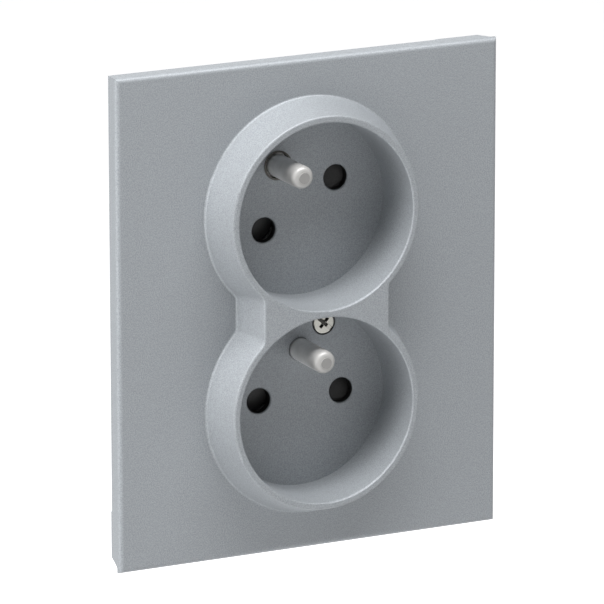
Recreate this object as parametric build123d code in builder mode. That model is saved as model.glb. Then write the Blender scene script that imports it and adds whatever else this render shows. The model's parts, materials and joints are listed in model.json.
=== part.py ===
"""Double wall socket with earth pins, rotated upper well and shuttered live holes."""
import os
from math import cos, radians, sin
from build123d import *

# Position and axes: the wall surface is y = 0, the room is on the minus y side,
# z is up and the origin is midway between the two box screws.

# Plate
plate_width = 87.0
plate_height = 104.5
stand_off = 7.7
lip_depth = 3.7
skin = 2.2
front_edge_radius = 1.0
skirt_inset = 2.5
skirt_wall = 1.8
relief_rear = 2.5
relief_front = 1.1
relief_depth = 2.4
pad_length = 10.0
pad_height = 0.35
rib_thickness = 1.4
rib_height = 1.5
bite = 0.3  # how far a joined form reaches into its neighbour
past = 1.0  # how far a cut runs past a surface

# Wells and their raised rim
well_pitch = 41.1
upper_turn = 30.0
lower_turn = 0.0
rim_height = 8.3
rim_radius = 21.2
rim_foot_radius = 23.7
mouth_radius = 19.8
well_depth = 12.8
floor_radius = 19.25
floor_thickness = 1.8
cup_wall = 1.8
web_half_width = 14.2
web_foot_half_width = 16.7
web_core_wall = 1.6
web_hollow_height = 12.0
web_corner_radius = 2.0
rim_edge_radius = 0.5
mouth_edge_radius = 0.35
foot_radius = 0.5

# Plug interface
live_pitch = 19.0
live_radius = 2.65
live_chamfer = 0.25
earth_offset = 10.0
earth_radius = 2.4
earth_reach = 12.6
earth_hole_clearance = 0.08
bush_radius = 3.15
bush_bore = 2.8
press_clearance = 0.02
bush_stand = 0.15

# Earth pin
nose_radius = 1.2
neck_depth = 0.25
neck_reach = 0.3
tip_disc_radius = 1.15
tip_disc_height = 0.3
flange_radius = 3.3
flange_thickness = 0.9
shank_radius = 1.5
peen_radius = 1.95
peen_height = 0.7

# Cover screw
cover_screw_x = 5.5
cover_screw_z = -5.5
head_radius = 2.4
head_height = 1.25
head_seat = 1.1
head_edge_radius = 0.3
head_clearance = 0.25
cover_screw_radius = 1.45
cover_screw_length = 10.0
slot_width = 0.9
slot_depth = 0.55
slot_turn = 42.0
cross_width = 0.75
cross_length = 2.7
cross_depth = 0.95

# Shutter
shutter_front = -1.25
shutter_back = 1.35
hub_back = 2.85
pad_radius = 3.0
hub_radius = 3.9
collar_radius = 2.9
arm_width = 3.6
post_radius = 1.5
running_clearance = 0.05
shutter_turn = 35.0
ramp_drop = 1.9
ramp_start = -2.2
sweep_clearance = 0.25
hub_clearance = 0.5
arm_spread = 24.0
arm_sweep = 7.2

# Shutter spring
wire = 0.4
coil_radius = 3.5
coil_pitch = 0.45
coil_turns = 2.0
coil_gap = 0.1
leg_length = 1.05
leg_wire = 0.38
leg_overlap = 0.1
leg_clearance = 0.1
leg_spare = 0.2
leg_angle = 10.0
coil_tail = 8.0  # degrees of coil past each leg

# Steel support frame
frame_thickness = 1.2
frame_side_gap = 3.7
frame_end_gap = 7.95
frame_corner = 8.0
box_screw_pitch = 60.0
box_slot_length = 7.0
box_slot_width = 4.0
edge_turn = 2.6
edge_turn_length = 52.0
frame_screw_x = 20.5
frame_screw_z = 13.0

# Insulating base and rear cover
base_radius = 32.0
base_half_width = 25.0
boss_half_width = 15.0
boss_top = 33.7
boss_bottom = -31.0
boss_corner = 6.0
boss_clearance = 0.3
pocket_floor = 2.9
strap_front = 4.1
base_back = 18.0
rear_back = 26.5
rear_edge_radius = 1.5
bore_radius = 2.8
chamber_radius = 3.7
chamber_front = 5.2
screw_hole_radius = 1.5
housing_screw_x = 18.5
housing_screw_z_top = 18.5
housing_screw_z_low = -17.0
small_screw_radius = 1.1
small_head_radius = 2.2
small_cross_length = 2.4
small_cross_width = 0.5
small_cross_depth = 0.6
small_tip = 0.8
frame_screw_length = 7.0
housing_screw_length = 14.0
hole_spare = 1.5
thread_clearance = 0.05

# Contacts
strap_width = 3.6
strap_thickness = 1.0
strap_leg_z = -22.0
fit_gap = 0.25
rail_thickness = 0.8
rail_width = 6.0
sleeve_wall = 0.5
sleeve_grip = 2.25
sleeve_mouth = 2.95
sleeve_front = 5.7
sleeve_slot = 0.7
sleeve_slot_length = 9.0
sleeve_throat = 2.5
sleeve_flare = 0.25
rail_tab = 3.0

# Terminals
block_x = 8.0
block_z = 7.6
block_y = 6.4
side_block_x = 18.5
wire_radius = 1.6
wire_depth = 5.4
wire_entry_clearance = 0.3
block_chamfer = 0.4
block_clearance = 0.2
block_end_gap = 0.1
clamp_screw_radius = 1.45
clamp_head_radius = 2.3
clamp_head_height = 1.5
clamp_slot = 0.7
clamp_gap = 0.3
clamp_bite = 0.6
clamp_clearance = 0.3

# Values that follow from the ones above
face_y = -stand_off
lip_back = face_y + lip_depth
skin_back = face_y + skin
rim_y = face_y - rim_height
floor_y = rim_y + well_depth
floor_back = floor_y + floor_thickness
tip_y = floor_y - earth_reach
rail_front = base_back - rail_thickness
inside_width = plate_width - 2 * (skirt_inset + skirt_wall)
inside_height = plate_height - 2 * (skirt_inset + skirt_wall)
frame_width = inside_width - 2 * frame_side_gap
frame_height = inside_height - 2 * frame_end_gap
strap_back = strap_front + strap_thickness
block_back = base_back + block_y
wells = {"upper": (well_pitch / 2, upper_turn), "lower": (-well_pitch / 2, lower_turn)}


def at_depth(y):
    """Plane facing the room at depth y, drawn with x to the right and z up."""
    return Plane.XZ.offset(-y)


def well_plane(well, y, extra_turn=0.0):
    """Plane facing the room on a well's axis, turned with its row of live holes."""
    z, turn = wells[well]
    turn = radians(turn + extra_turn)
    across = (cos(turn), 0, sin(turn))
    return Plane(origin=(0, y, z), x_dir=across, z_dir=(0, -1, 0))


def well_point(well, across, up):
    """Position of a point of a well, given along and square to its row of live holes."""
    z, turn = wells[well]
    turn = radians(turn)
    return (across * cos(turn) - up * sin(turn), z + across * sin(turn) + up * cos(turn))


def leg_spot():
    """Place of the spring's legs on a well plane."""
    angle = radians(leg_angle)
    return (coil_radius * cos(angle), coil_radius * sin(angle))


def lathe_plane(x, z):
    """Plane through an axis that runs along y, for turned shapes."""
    return Plane(origin=(x, 0, z), x_dir=(1, 0, 0), z_dir=(0, 0, 1))


def save(part, name):
    """Label one piece and write its file."""
    part.label = name
    export_step(part, f"parts/{name}.step")


def relief_section(depth):
    """Side of the turned square that takes the rear corner off the lip at a depth from its back."""
    grow = (relief_rear - relief_front) / relief_depth
    return (relief_rear - grow * depth) * 2 ** 0.5


def make_cover():
    """One moulding: plate, skirt, raised double rim and the two wells."""
    with BuildPart() as cover:
        # Plate with a rounded front edge
        with BuildSketch(at_depth(lip_back)):
            Rectangle(plate_width, plate_height)
        extrude(amount=lip_depth)
        fillet(cover.edges().group_by(Axis.Y)[0], front_edge_radius)
        # Two opposite rear corners of the lip are relieved
        for side in (-1, 1):
            for depth in (-past, relief_depth):
                with BuildSketch(at_depth(lip_back - depth)):
                    with Locations((side * plate_width / 2, side * plate_height / 2)):
                        Rectangle(relief_section(depth), relief_section(depth), rotation=45)
            loft(mode=Mode.SUBTRACT)
        # Low pads behind the lip beside the relieved corners
        for side in (-1, 1):
            x_end = side * (plate_width / 2 - relief_rear)
            z_end = side * (plate_height / 2 - relief_rear)
            with BuildSketch(at_depth(lip_back + pad_height)):
                with Locations((x_end - side * pad_length / 2, side * (plate_height - skirt_inset) / 2)):
                    Rectangle(pad_length, skirt_inset)
                with Locations((side * (plate_width - skirt_inset) / 2, z_end - side * pad_length / 2)):
                    Rectangle(skirt_inset, pad_length)
            extrude(amount=pad_height + bite)
        # Skirt that reaches the wall
        with BuildSketch(at_depth(0)):
            Rectangle(plate_width - 2 * skirt_inset, plate_height - 2 * skirt_inset)
        extrude(amount=stand_off - skin / 2)
        with BuildSketch(at_depth(0)):
            Rectangle(inside_width, inside_height)
        extrude(amount=stand_off - skin, mode=Mode.SUBTRACT)
        # Raised rims with sloping sides
        for z, turn in wells.values():
            with BuildSketch(lathe_plane(0, z)):
                with BuildLine():
                    Polyline(
                        (0, rim_y),
                        (rim_radius, rim_y),
                        (rim_foot_radius, face_y),
                        (rim_foot_radius, face_y + skin / 2),
                        (0, face_y + skin / 2),
                        close=True,
                    )
                make_face()
            revolve(axis=Axis((0, 0, z), (0, 1, 0)))
        # Web that joins the rims, with the same slope on its two sides
        for y, half in ((face_y, web_foot_half_width), (rim_y, web_half_width)):
            with BuildSketch(at_depth(y)):
                Rectangle(2 * half, well_pitch * 0.6)
        loft()
        # Rounded corners where the web meets the rims
        slanted = cover.edges().filter_by(
            lambda e: e.length > rim_height
            and abs(e.center().Y - (face_y + rim_y) / 2) < 0.1
            and web_half_width - 1 < abs(e.center().X) < web_foot_half_width + 1
            and abs(e.center().Z) < well_pitch / 2
        )
        fillet(slanted, web_corner_radius)
        # Soft foot and outer edge of the rim
        foot = cover.edges().filter_by(
            lambda e: abs(e.center().Y - face_y) < 0.01
            and abs(e.center().X) < rim_foot_radius + past
            and abs(e.center().Z) < well_pitch / 2 + rim_foot_radius + past
        )
        fillet(foot, foot_radius)
        top = cover.faces().sort_by(Axis.Y)[0].outer_wire().edges()
        fillet(top, rim_edge_radius)
        # Cups behind the skin
        with BuildSketch(at_depth(floor_back)):
            for z, turn in wells.values():
                with Locations((0, z)):
                    Circle(floor_radius + cup_wall)
        extrude(amount=floor_back - skin_back + skin / 2)
        # Hollow behind each side of the web
        with BuildSketch(at_depth(skin_back)):
            for side in (-1, 1):
                with Locations((side * (web_half_width - web_core_wall) / 2, 0)):
                    Rectangle(web_half_width - web_core_wall, web_hollow_height)
            for z, turn in wells.values():
                with Locations((0, z)):
                    Circle(mouth_radius + web_core_wall, mode=Mode.SUBTRACT)
        extrude(amount=skin_back - rim_y - web_core_wall, mode=Mode.SUBTRACT)
        # The wells themselves
        for well, (z, turn) in wells.items():
            with BuildSketch(lathe_plane(0, z)):
                with BuildLine():
                    Polyline(
                        (0, rim_y - past),
                        (mouth_radius, rim_y - past),
                        (mouth_radius, rim_y),
                        (floor_radius, floor_y),
                        (0, floor_y),
                        close=True,
                    )
                make_face()
            revolve(axis=Axis((0, 0, z), (0, 1, 0)), mode=Mode.SUBTRACT)
        mouth = cover.edges().filter_by(GeomType.CIRCLE).filter_by(
            lambda e: abs(e.radius - mouth_radius) < 0.01 and abs(e.center().Y - rim_y) < 0.01
        )
        fillet(mouth, mouth_edge_radius)
        # Live holes with a small chamfer
        for well in wells:
            with BuildSketch(well_plane(well, floor_back)):
                with GridLocations(live_pitch, 1, 2, 1):
                    Circle(live_radius)
            extrude(amount=floor_thickness, mode=Mode.SUBTRACT)
        live = cover.edges().filter_by(GeomType.CIRCLE).filter_by(
            lambda e: abs(e.radius - live_radius) < 0.01 and abs(e.arc_center.Y - floor_y) < 0.01
        )
        chamfer(live, live_chamfer)
        # Earth pin holes
        for well, radius in (("upper", bush_radius), ("lower", earth_radius + earth_hole_clearance)):
            with BuildSketch(well_plane(well, floor_back)):
                with Locations((0, earth_offset)):
                    Circle(radius)
            extrude(amount=floor_thickness, mode=Mode.SUBTRACT)
        # Stepped hole for the cover screw
        with BuildSketch(at_depth(floor_y + head_seat)):
            with Locations((cover_screw_x, cover_screw_z)):
                Circle(head_radius + head_clearance)
        extrude(amount=head_seat, mode=Mode.SUBTRACT)
        with BuildSketch(at_depth(floor_back)):
            with Locations((cover_screw_x, cover_screw_z)):
                Circle(cover_screw_radius + head_clearance)
        extrude(amount=floor_thickness, mode=Mode.SUBTRACT)
        # Stiffening ribs between the cups and the skirt
        inner_x = plate_width / 2 - skirt_inset - skirt_wall / 2
        inner_z = plate_height / 2 - skirt_inset - skirt_wall / 2
        cup = floor_radius + cup_wall - bite
        with BuildSketch(at_depth(skin_back + rib_height)):
            for side in (-1, 1):
                for z, turn in wells.values():
                    with Locations((side * (cup + inner_x) / 2, z)):
                        Rectangle(inner_x - cup, rib_thickness)
                with Locations((0, side * (well_pitch / 2 + cup + inner_z) / 2)):
                    Rectangle(rib_thickness, inner_z - cup - well_pitch / 2)
                with Locations((side * (inner_x + web_half_width) / 2, 0)):
                    Rectangle(inner_x - web_half_width, rib_thickness)
        extrude(amount=rib_height + bite)
    save(cover.part, "cover")


def make_cover_screw():
    """Screw with a combined slot and cross, seated in the floor of the lower well."""
    seat = floor_y + head_seat
    with BuildPart() as screw:
        with BuildSketch(lathe_plane(cover_screw_x, cover_screw_z)):
            with BuildLine():
                Polyline(
                    (0, seat - head_height),
                    (head_radius, seat - head_height),
                    (head_radius, seat),
                    (cover_screw_radius, seat),
                    (cover_screw_radius, seat + cover_screw_length - cover_screw_radius),
                    (cover_screw_radius / 2, seat + cover_screw_length),
                    (0, seat + cover_screw_length),
                    close=True,
                )
            make_face()
        revolve(axis=Axis((cover_screw_x, 0, cover_screw_z), (0, 1, 0)))
        fillet(screw.edges().filter_by(GeomType.CIRCLE).group_by(Axis.Y)[0], head_edge_radius)
        top = seat - head_height
        with BuildSketch(at_depth(top + slot_depth)):
            with Locations((cover_screw_x, cover_screw_z)):
                Rectangle(2 * head_radius + past, slot_width, rotation=-slot_turn)
        extrude(amount=slot_depth + past, mode=Mode.SUBTRACT)
        with BuildSketch(at_depth(top + cross_depth)):
            with Locations((cover_screw_x, cover_screw_z)):
                Rectangle(cross_length, cross_width, rotation=-slot_turn)
                Rectangle(cross_width, cross_length, rotation=-slot_turn)
        extrude(amount=cross_depth + past, mode=Mode.SUBTRACT)
    save(screw.part, "cover_screw")


def make_earth_pin(well):
    """Turned earth pin with a rounded nose, a flange and a peened shank."""
    x, z = well_point(well, 0, earth_offset)
    with BuildPart() as pin:
        with BuildSketch(lathe_plane(x, z)):
            with BuildLine():
                Polyline(
                    (0, tip_y),
                    (tip_disc_radius, tip_y),
                    (tip_disc_radius, tip_y + tip_disc_height),
                    (earth_radius, tip_y + tip_disc_height),
                    (earth_radius, floor_y - neck_reach),
                    (earth_radius - neck_depth, floor_y - neck_reach),
                    (earth_radius - neck_depth, floor_back),
                    (flange_radius, floor_back),
                    (flange_radius, floor_back + flange_thickness),
                    (shank_radius, floor_back + flange_thickness),
                    (shank_radius, strap_back),
                    (peen_radius, strap_back),
                    (peen_radius * 0.6, strap_back + peen_height),
                    (0, strap_back + peen_height),
                    close=True,
                )
            make_face()
        revolve(axis=Axis((x, 0, z), (0, 1, 0)))
        shoulder = pin.edges().filter_by(GeomType.CIRCLE).filter_by(
            lambda e: abs(e.radius - earth_radius) < 0.01
            and abs(e.center().Y - tip_y - tip_disc_height) < 0.01
        )
        fillet(shoulder, nose_radius)
    save(pin.part, f"earth_pin_{well}")


def make_pin_bush():
    """Thin sleeve that lines the earth pin's hole in the upper well."""
    x, z = well_point("upper", 0, earth_offset)
    with BuildPart() as bush:
        with BuildSketch(at_depth(floor_back)):
            with Locations((x, z)):
                Circle(bush_radius - press_clearance)
                Circle(bush_bore, mode=Mode.SUBTRACT)
        extrude(amount=floor_thickness + bush_stand)
    save(bush.part, "pin_bush_upper")


def make_shutter(well):
    """Turning shutter: a hub with two ramped pads that cover the live holes."""
    z, turn = wells[well]
    with BuildPart() as shutter:
        with BuildSketch(well_plane(well, shutter_back)):
            Circle(hub_radius)
            Rectangle(live_pitch, arm_width)
            with GridLocations(live_pitch, 1, 2, 1):
                Circle(pad_radius)
        extrude(amount=shutter_back - shutter_front)
        with BuildSketch(well_plane(well, hub_back)):
            Circle(collar_radius)
        extrude(amount=hub_back - shutter_back)
        # Ramps that let a pair of plug pins turn the shutter
        for side in (-1, 1):
            base = well_plane(well, 0)
            ramp = Plane(
                origin=base.from_local_coords((side * live_pitch / 2, 0, 0)),
                x_dir=base.y_dir * side,
                z_dir=base.x_dir * side,
            )
            with BuildSketch(ramp):
                with BuildLine():
                    Polyline(
                        (ramp_start, -shutter_front),
                        (pad_radius + past, -shutter_front - ramp_drop),
                        (pad_radius + past, past - shutter_front),
                        (ramp_start, past - shutter_front),
                        close=True,
                    )
                make_face()
            extrude(amount=pad_radius + past, both=True, mode=Mode.SUBTRACT)
        with BuildSketch(well_plane(well, hub_back)):
            Circle(post_radius + running_clearance)
        extrude(amount=hub_back - shutter_front, mode=Mode.SUBTRACT)
        # Hole for the moving leg of the spring
        with BuildSketch(well_plane(well, shutter_back)):
            with Locations(leg_spot()):
                Circle(wire / 2 + leg_clearance)
        extrude(amount=leg_length - leg_spare, mode=Mode.SUBTRACT)
    save(shutter.part, f"shutter_{well}")


def make_shutter_spring(well):
    """Torsion spring around the collar, one leg in the base and one in the shutter."""
    start = shutter_back + wire / 2 + coil_gap
    plane = well_plane(well, start + coil_turns * coil_pitch, leg_angle)
    tail = coil_tail / 360
    with BuildPart() as spring:
        with BuildLine() as coil_line:
            turned = plane.location * Location((0, 0, -tail * coil_pitch), (0, 0, 1), -coil_tail)
            coil_height = (coil_turns + 2 * tail) * coil_pitch
            add(turned * Helix(coil_pitch, coil_height, coil_radius, mode=Mode.PRIVATE))
        coil = coil_line.wires()[0]
        # An eight-sided wire keeps the mesh of the coil light
        with BuildSketch(Plane(origin=coil @ 0, z_dir=coil % 0)):
            RegularPolygon(wire / 2, 8)
        sweep(is_frenet=True)
        for height, into in ((0, 1), (coil_turns * coil_pitch, -1)):
            end = plane.from_local_coords((coil_radius, 0, height))
            start = end - Vector(0, into * leg_overlap, 0)
            with BuildSketch(Plane(origin=start, z_dir=(0, into, 0))):
                Circle(leg_wire / 2)
            extrude(amount=leg_length + leg_overlap)
    save(spring.part, f"shutter_spring_{well}")


def make_support_frame():
    """Pressed steel frame with slots for the box screws and turned side edges."""
    with BuildPart() as frame:
        with BuildSketch(at_depth(0)) as outline:
            Rectangle(frame_width, frame_height)
            chamfer(outline.vertices(), frame_corner)
            with Locations((0, (boss_top + boss_bottom) / 2)):
                RectangleRounded(
                    2 * (boss_half_width + boss_clearance),
                    boss_top - boss_bottom + 2 * boss_clearance,
                    boss_corner + boss_clearance,
                    mode=Mode.SUBTRACT,
                )
            with GridLocations(box_screw_pitch, 1, 2, 1):
                SlotOverall(box_slot_length, box_slot_width, mode=Mode.SUBTRACT)
        extrude(amount=frame_thickness)
        # Side edges turned towards the room
        with BuildSketch(at_depth(0)):
            with GridLocations(frame_width - frame_thickness, 1, 2, 1):
                Rectangle(frame_thickness, edge_turn_length)
        extrude(amount=frame_thickness + edge_turn)
        # Countersinks for the screws that hold the base
        for x in (-frame_screw_x, frame_screw_x):
            for z in (-frame_screw_z, frame_screw_z):
                with BuildSketch(lathe_plane(x, z)):
                    with BuildLine():
                        Polyline(
                            (0, -frame_thickness),
                            (small_head_radius + thread_clearance, -frame_thickness),
                            (small_screw_radius + thread_clearance, 0),
                            (0, 0),
                            close=True,
                        )
                    make_face()
                revolve(axis=Axis((x, 0, z), (0, 1, 0)), mode=Mode.SUBTRACT)
    save(frame.part, "support_frame")


def make_small_screws(name, spots, head_y, length, facing):
    """Group of four small countersunk screws; facing is the side of their heads."""
    with BuildPart() as screws:
        for x, z in spots:
            with BuildSketch(lathe_plane(x, z)):
                with BuildLine():
                    Polyline(
                        (0, head_y),
                        (small_head_radius, head_y),
                        (small_screw_radius, head_y - facing * frame_thickness),
                        (small_screw_radius, head_y - facing * (length - small_tip)),
                        (0, head_y - facing * length),
                        close=True,
                    )
                make_face()
            revolve(axis=Axis((x, 0, z), (0, 1, 0)))
            with BuildSketch(at_depth(head_y)):
                with Locations((x, z)):
                    Rectangle(small_cross_length, small_cross_width)
                    Rectangle(small_cross_width, small_cross_length)
            extrude(amount=small_cross_depth * facing, mode=Mode.SUBTRACT)
    save(screws.part, name)


def base_outline():
    """Round outline with two flats that leaves room for the box screws."""
    Circle(base_radius)
    Rectangle(2 * base_half_width, 2 * base_radius, mode=Mode.INTERSECT)


def shutter_sweep():
    """Area that a shutter needs, drawn on its well plane."""
    reach = pad_radius + sweep_clearance
    far = live_pitch / 2 + reach
    Circle(hub_radius + hub_clearance)
    for side in (0, 180):
        for turn in (0, shutter_turn):
            angle = radians(side - turn)
            with Locations((live_pitch / 2 * cos(angle), live_pitch / 2 * sin(angle))):
                Circle(reach)
        swept = [(0, 0)]
        fan = [(0, 0)]
        for step in range(6):
            angle = radians(side - shutter_turn * step / 5)
            swept.append((far * cos(angle), far * sin(angle)))
            angle = radians(side + arm_spread - (shutter_turn + 2 * arm_spread) * step / 5)
            fan.append((arm_sweep * cos(angle), arm_sweep * sin(angle)))
        Polygon(*swept, align=None)
        Polygon(*fan, align=None)


def rail_points(side):
    """Positions of the two contact sleeves of one rail and of its terminal."""
    upper = well_point("upper", side * live_pitch / 2, 0)
    lower = well_point("lower", side * live_pitch / 2, 0)
    return upper, lower, (side * side_block_x, 0)


def rail_outline(side, extra):
    """Flat outline of one contact rail, grown by extra for its recess."""
    upper, lower, terminal = rail_points(side)
    for centre in (upper, lower):
        with Locations(centre):
            Circle(rail_width / 2 + extra)
    half = rail_width / 2 + extra
    Polygon(
        (upper[0] - half, upper[1]),
        (upper[0] + half, upper[1]),
        (lower[0] + half, lower[1]),
        (lower[0] - half, lower[1]),
        align=None,
    )
    end = terminal[0] + side * (rail_tab + extra)
    with Locations(((lower[0] + end) / 2, 0)):
        Rectangle(abs(end - lower[0]), rail_width + 2 * extra)


def make_contact_base():
    """Insulating base with shutter pockets, contact chambers and screw holes."""
    with BuildPart() as base:
        with BuildSketch(at_depth(base_back)):
            base_outline()
        extrude(amount=base_back)
        with BuildSketch(at_depth(0)):
            with Locations((0, (boss_top + boss_bottom) / 2)):
                RectangleRounded(2 * boss_half_width, boss_top - boss_bottom, boss_corner)
        extrude(amount=-floor_back)
        for well, (z, turn) in wells.items():
            # Shutter pocket and its post
            with BuildSketch(well_plane(well, pocket_floor)):
                shutter_sweep()
            extrude(amount=pocket_floor - floor_back, mode=Mode.SUBTRACT)
            with BuildSketch(well_plane(well, pocket_floor)):
                Circle(post_radius)
            extrude(amount=pocket_floor - shutter_front)
            # Hole for the fixed leg of the spring
            with BuildSketch(well_plane(well, pocket_floor + leg_length - leg_spare)):
                with Locations(leg_spot()):
                    Circle(wire / 2 + leg_clearance)
            extrude(amount=leg_length, mode=Mode.SUBTRACT)
            # Way through to the contacts, and their chambers from the rear
            with BuildSketch(well_plane(well, base_back)):
                with GridLocations(live_pitch, 1, 2, 1):
                    Circle(bore_radius)
            extrude(amount=base_back - pocket_floor, mode=Mode.SUBTRACT)
            with BuildSketch(well_plane(well, base_back)):
                with GridLocations(live_pitch, 1, 2, 1):
                    Circle(chamber_radius)
            extrude(amount=base_back - chamber_front, mode=Mode.SUBTRACT)
            # Seat and hole for the earth pin
            with BuildSketch(well_plane(well, floor_back + flange_thickness)):
                with Locations((0, earth_offset)):
                    Circle(flange_radius + thread_clearance)
            extrude(amount=flange_thickness, mode=Mode.SUBTRACT)
            with BuildSketch(well_plane(well, strap_front)):
                with Locations((0, earth_offset)):
                    Circle(shank_radius + thread_clearance)
            extrude(amount=strap_front - floor_back, mode=Mode.SUBTRACT)
        # Channel for the earth strap
        with BuildSketch(at_depth(base_back)):
            strap_outline(fit_gap)
        extrude(amount=base_back - strap_front, mode=Mode.SUBTRACT)
        # Recesses for the contact rails
        with BuildSketch(at_depth(base_back)):
            for side in (-1, 1):
                rail_outline(side, fit_gap)
        extrude(amount=rail_thickness, mode=Mode.SUBTRACT)
        # Hole for the cover screw
        with BuildSketch(at_depth(floor_y + head_seat + cover_screw_length + hole_spare)):
            with Locations((cover_screw_x, cover_screw_z)):
                Circle(screw_hole_radius)
        extrude(amount=floor_y + head_seat + cover_screw_length + hole_spare - floor_back, mode=Mode.SUBTRACT)
        # Holes for the screws of the frame and of the rear cover
        frame_hole = frame_screw_length - frame_thickness + hole_spare
        with BuildSketch(at_depth(frame_hole)):
            with GridLocations(2 * frame_screw_x, 2 * frame_screw_z, 2, 2):
                Circle(small_screw_radius + thread_clearance)
        extrude(amount=frame_hole, mode=Mode.SUBTRACT)
        with BuildSketch(at_depth(base_back)):
            with Locations(*housing_spots()):
                Circle(small_screw_radius + thread_clearance)
        housing_hole = housing_screw_length - (rear_back - base_back) + hole_spare
        extrude(amount=housing_hole, mode=Mode.SUBTRACT)
    save(base.part, "contact_base")


def strap_outline(extra):
    """Flat outline of the earth strap between the two pins and the terminal leg."""
    ux, uz = well_point("upper", 0, earth_offset)
    half = strap_width / 2 + extra
    top = uz + half
    low = strap_leg_z - extra
    with Locations((0, (top + low) / 2)):
        Rectangle(2 * half, top - low)
    with Locations((ux / 2, uz)):
        Rectangle(abs(ux), 2 * half)
    with Locations((ux, uz)):
        Circle(half)


def housing_spots():
    """Positions of the four screws that hold the rear cover."""
    return [
        (side * housing_screw_x, z)
        for side in (-1, 1)
        for z in (housing_screw_z_low, housing_screw_z_top)
    ]


def make_earth_strap():
    """Brass strap that joins the earth pins and bends back to the earth terminal."""
    with BuildPart() as strap:
        with BuildSketch(at_depth(strap_back)):
            strap_outline(0)
            for well in wells:
                with Locations(well_point(well, 0, earth_offset)):
                    Circle(shank_radius, mode=Mode.SUBTRACT)
        extrude(amount=strap_thickness)
        # Leg that runs back to the terminal
        with BuildSketch(at_depth(block_back)):
            with Locations((0, strap_leg_z + strap_thickness / 2)):
                Rectangle(strap_width, strap_thickness)
        extrude(amount=block_back - strap_front)
    save(strap.part, "earth_strap")


def make_contact_rail(side, name):
    """Brass rail with a slotted contact sleeve for each well."""
    upper, lower, terminal = rail_points(side)
    with BuildPart() as rail:
        with BuildSketch(at_depth(base_back)):
            rail_outline(side, 0)
        extrude(amount=rail_thickness)
        for x, z in (upper, lower):
            with BuildSketch(lathe_plane(x, z)):
                with BuildLine():
                    Polyline(
                        (sleeve_mouth, sleeve_front),
                        (sleeve_grip, sleeve_front + sleeve_throat),
                        (sleeve_grip + sleeve_flare, rail_front),
                        (sleeve_grip + sleeve_flare + sleeve_wall, rail_front),
                        (sleeve_grip + sleeve_wall, sleeve_front + sleeve_throat),
                        (sleeve_mouth + sleeve_wall, sleeve_front),
                        close=True,
                    )
                make_face()
            revolve(axis=Axis((x, 0, z), (0, 1, 0)))
            # Slots that let the sleeve grip a plug pin
            with BuildSketch(at_depth(sleeve_front + sleeve_slot_length)):
                with Locations((x, z)):
                    Rectangle(2 * chamber_radius, sleeve_slot)
                    Rectangle(sleeve_slot, 2 * chamber_radius)
            extrude(amount=sleeve_slot_length, mode=Mode.SUBTRACT)
    save(rail.part, name)


def terminal_block(x, z, direction, name):
    """Brass terminal block with a wire hole from the rear and a screw hole."""
    middle = (x, base_back + block_y / 2, z)
    with BuildPart() as block:
        with BuildSketch(at_depth(block_back)):
            with Locations((x, z)):
                Rectangle(block_x if direction.X else block_z, block_z if direction.X else block_x)
        extrude(amount=block_y)
        chamfer(block.edges().filter_by(Axis.Y), block_chamfer)
        with BuildSketch(at_depth(block_back)):
            with Locations((x, z)):
                Circle(wire_radius)
        extrude(amount=wire_depth, mode=Mode.SUBTRACT)
        with BuildSketch(Plane(origin=middle, z_dir=direction)):
            Circle(clamp_screw_radius + thread_clearance)
        extrude(amount=block_x, mode=Mode.SUBTRACT)
    save(block.part, name)


def clamp_spots():
    """Centre of each terminal block and the way its screw faces."""
    return [
        ((-side_block_x, 0), Vector(-1, 0, 0), "terminal_left"),
        ((side_block_x, 0), Vector(1, 0, 0), "terminal_right"),
        ((0, strap_leg_z - block_x / 2), Vector(0, 0, -1), "terminal_earth"),
    ]


def make_clamp_screws():
    """Group of the three slotted terminal screws."""
    with BuildPart() as screws:
        for (x, z), direction, name in clamp_spots():
            middle = Vector(x, base_back + block_y / 2, z)
            tip = middle + direction * (wire_radius - clamp_bite)
            seat = middle + direction * (block_x / 2 + clamp_gap)
            with BuildSketch(Plane(origin=tip, z_dir=direction)):
                Circle(clamp_screw_radius)
            extrude(amount=(seat - tip).length)
            head = Plane(origin=seat, z_dir=direction)
            with BuildSketch(head):
                Circle(clamp_head_radius)
            extrude(amount=clamp_head_height)
            with BuildSketch(head.offset(clamp_head_height - clamp_slot)):
                Rectangle(2 * clamp_head_radius + past, clamp_slot)
            extrude(amount=clamp_slot + past, mode=Mode.SUBTRACT)
    save(screws.part, "terminal_screws")


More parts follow.
